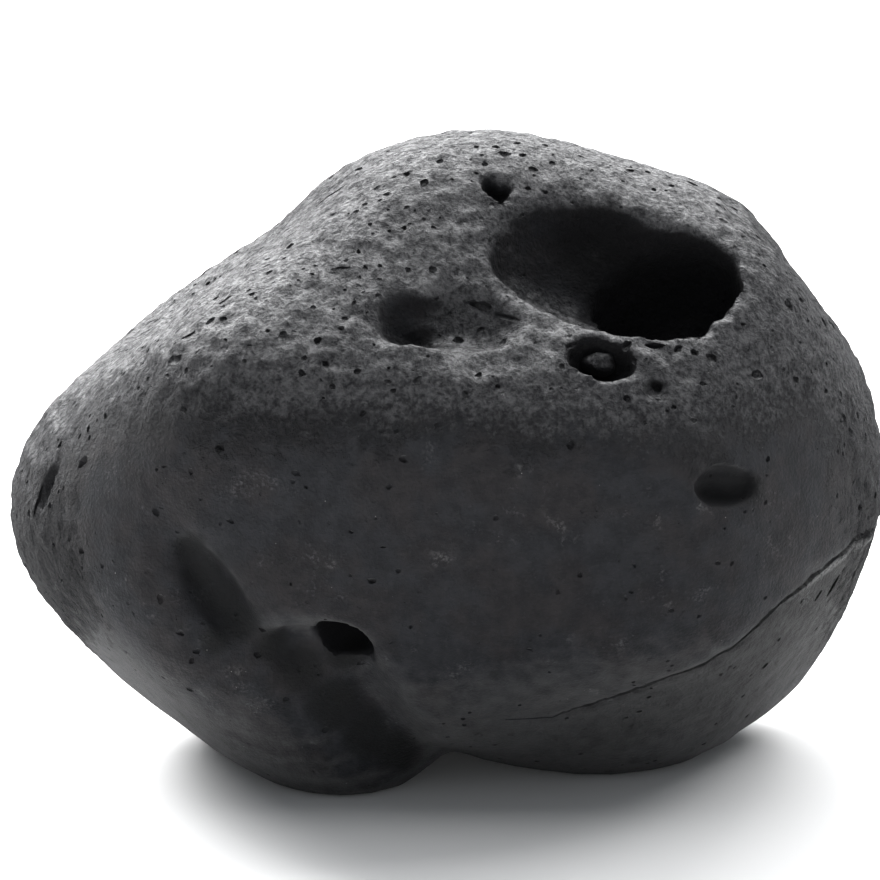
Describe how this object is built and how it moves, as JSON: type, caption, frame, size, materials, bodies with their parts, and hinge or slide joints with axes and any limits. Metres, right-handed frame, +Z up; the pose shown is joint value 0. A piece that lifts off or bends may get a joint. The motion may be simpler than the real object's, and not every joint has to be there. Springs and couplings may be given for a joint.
{
  "type": "river rock",
  "caption": "river-worn cobble of dark vesicular basalt with open gas hollows, a long crack and a flat underside that it rests on",
  "frame": {"origin": "centre of the bounding box's underside, on the surface that the stone rests on", "axes": "+Z up, +X along the stone's length to the right as seen from the front, -Y towards the side with the large hollow in its shoulder"},
  "size_m": [0.1509, 0.1088, 0.1094],
  "materials": {
    "basalt": "dry, matte, smooth on the front and rough with open bubbles on the upper slope"
  },
  "bodies": {
    "root": {"river_rock": "basalt"}
  },
  "joints": []
}
